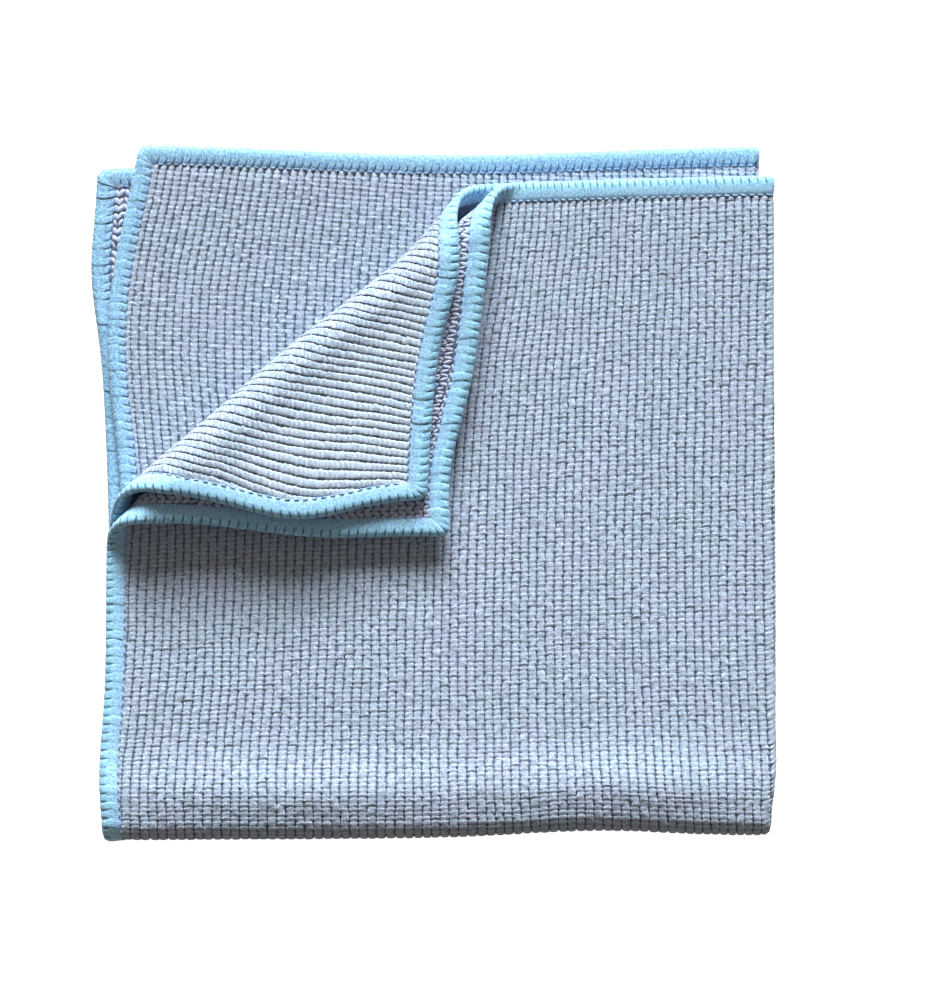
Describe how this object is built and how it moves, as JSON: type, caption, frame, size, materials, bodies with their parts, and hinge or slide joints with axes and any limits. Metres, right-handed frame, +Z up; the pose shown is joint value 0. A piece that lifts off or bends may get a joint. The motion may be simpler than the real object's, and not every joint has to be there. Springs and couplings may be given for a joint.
{
  "type": "microfibre cloth",
  "caption": "Ribbed microfibre cleaning cloth with an overlocked edge, folded square with its loose corner turned back.",
  "frame": {"origin": "centre of the folded cloth's box, on the surface that it rests on", "axes": "+Z up, out of the stack of layers; +X towards the first fold; -Y towards the second fold; the turned-back corner starts at -X, +Y"},
  "size_m": [0.2026, 0.2058, 0.0252],
  "materials": {
    "cloth": "grey-blue ribbed warp-knit microfibre, matt and slightly fuzzy",
    "edging": "light-blue overlock stitches in a soft bulked yarn, with a slight sheen"
  },
  "bodies": {
    "root": {"cloth": "cloth", "edging": "edging"}
  },
  "joints": []
}
